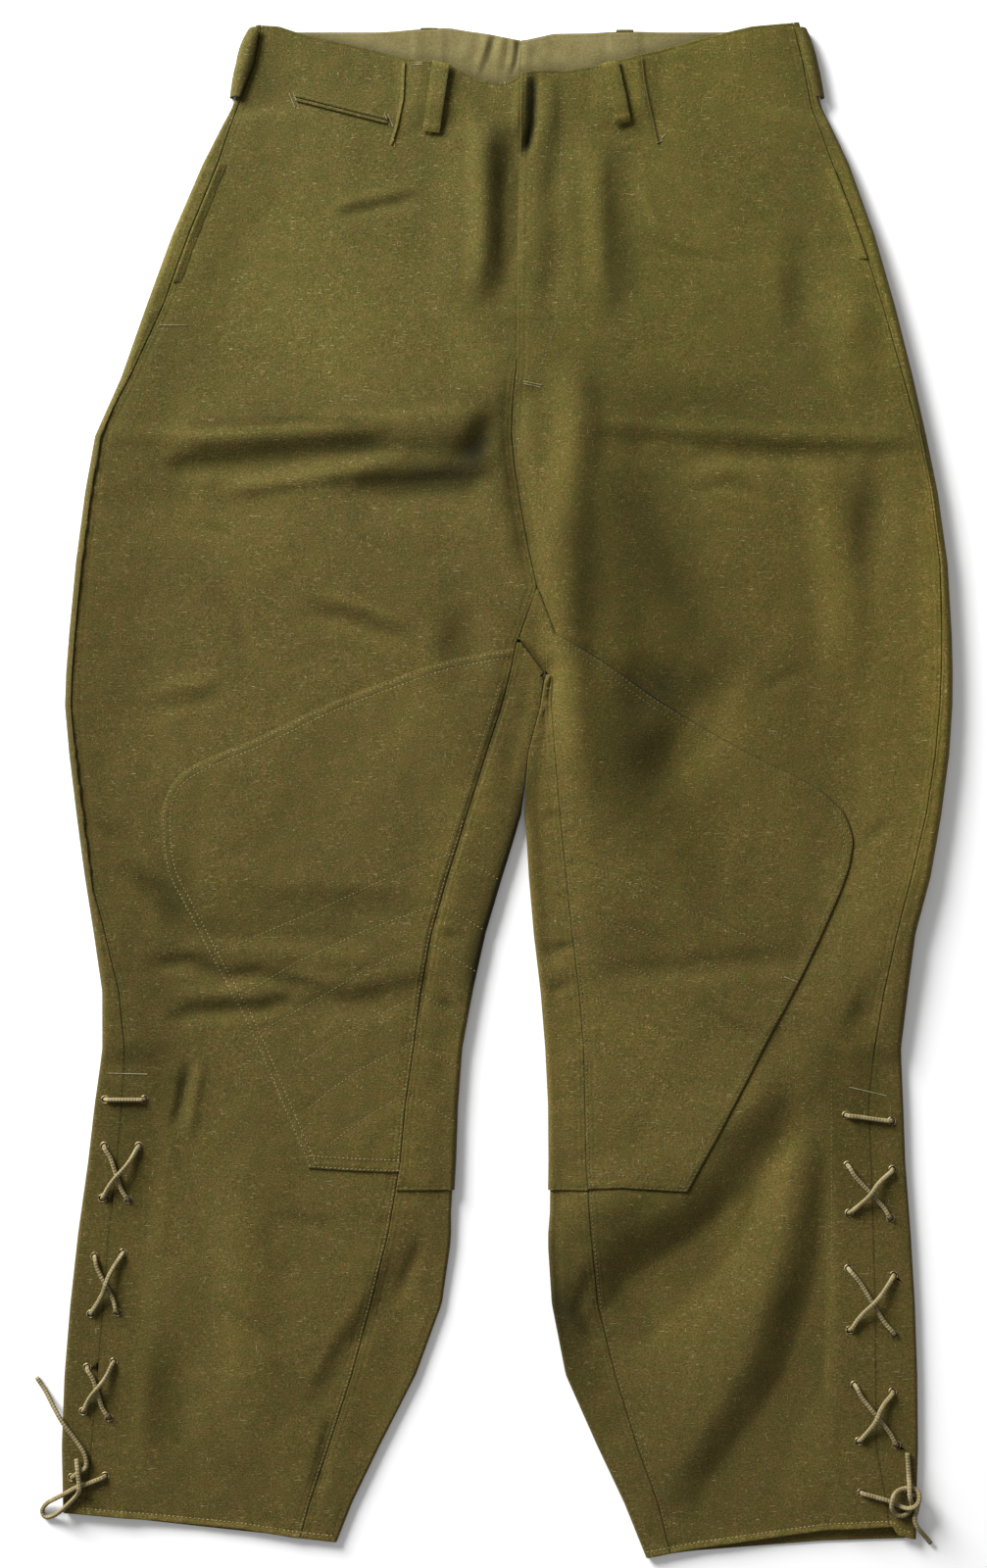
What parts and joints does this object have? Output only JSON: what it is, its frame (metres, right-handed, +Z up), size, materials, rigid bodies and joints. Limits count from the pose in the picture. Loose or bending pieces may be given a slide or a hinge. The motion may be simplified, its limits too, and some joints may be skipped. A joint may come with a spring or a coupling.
{
  "type": "knee breeches",
  "caption": "Knee breeches in heavy cotton drill, laid flat: wide thighs, fly front, belt loops, knee patches and laced calves.",
  "frame": {"origin": "middle of the laid-out garment, on the surface it lies on", "axes": "+Z up out of the surface, the front of the garment facing up; +Y towards the waist; the wearer's left leg towards +X"},
  "size_m": [0.6444, 1.0785, 0.0146],
  "materials": {
    "drill_cloth": "matt olive-drab heathered twill",
    "facing_cotton": "matt plain khaki cotton",
    "lace_cord": "braided khaki cotton cord",
    "eyelet_metal": "dull darkened brass",
    "sewing_thread": "matt cotton thread"
  },
  "bodies": {
    "root": {"front_right": "drill_cloth", "front_left": "drill_cloth", "back_right": "drill_cloth", "back_left": "drill_cloth", "crotch_gusset": "drill_cloth", "waist_facing_right": "facing_cotton", "waist_facing_left": "facing_cotton", "belt_loop_front_right": "drill_cloth", "belt_loop_front_left": "drill_cloth", "belt_loop_side_right": "drill_cloth", "belt_loop_side_left": "drill_cloth", "belt_loop_back_right": "drill_cloth", "belt_loop_back_left": "drill_cloth", "watch_pocket_welt_upper": "drill_cloth", "watch_pocket_welt_lower": "drill_cloth", "front_slit_edge_right": "drill_cloth", "front_slit_edge_left": "drill_cloth", "side_pocket_edge_right": "drill_cloth", "side_pocket_edge_left": "drill_cloth", "knee_patch_front_right": "drill_cloth", "knee_patch_front_left": "drill_cloth", "knee_patch_back_right": "drill_cloth", "knee_patch_back_left": "drill_cloth", "lacing_underlap_right": "drill_cloth", "lacing_underlap_left": "drill_cloth", "lace_right": "lace_cord", "lace_left": "lace_cord"}
  },
  "joints": []
}
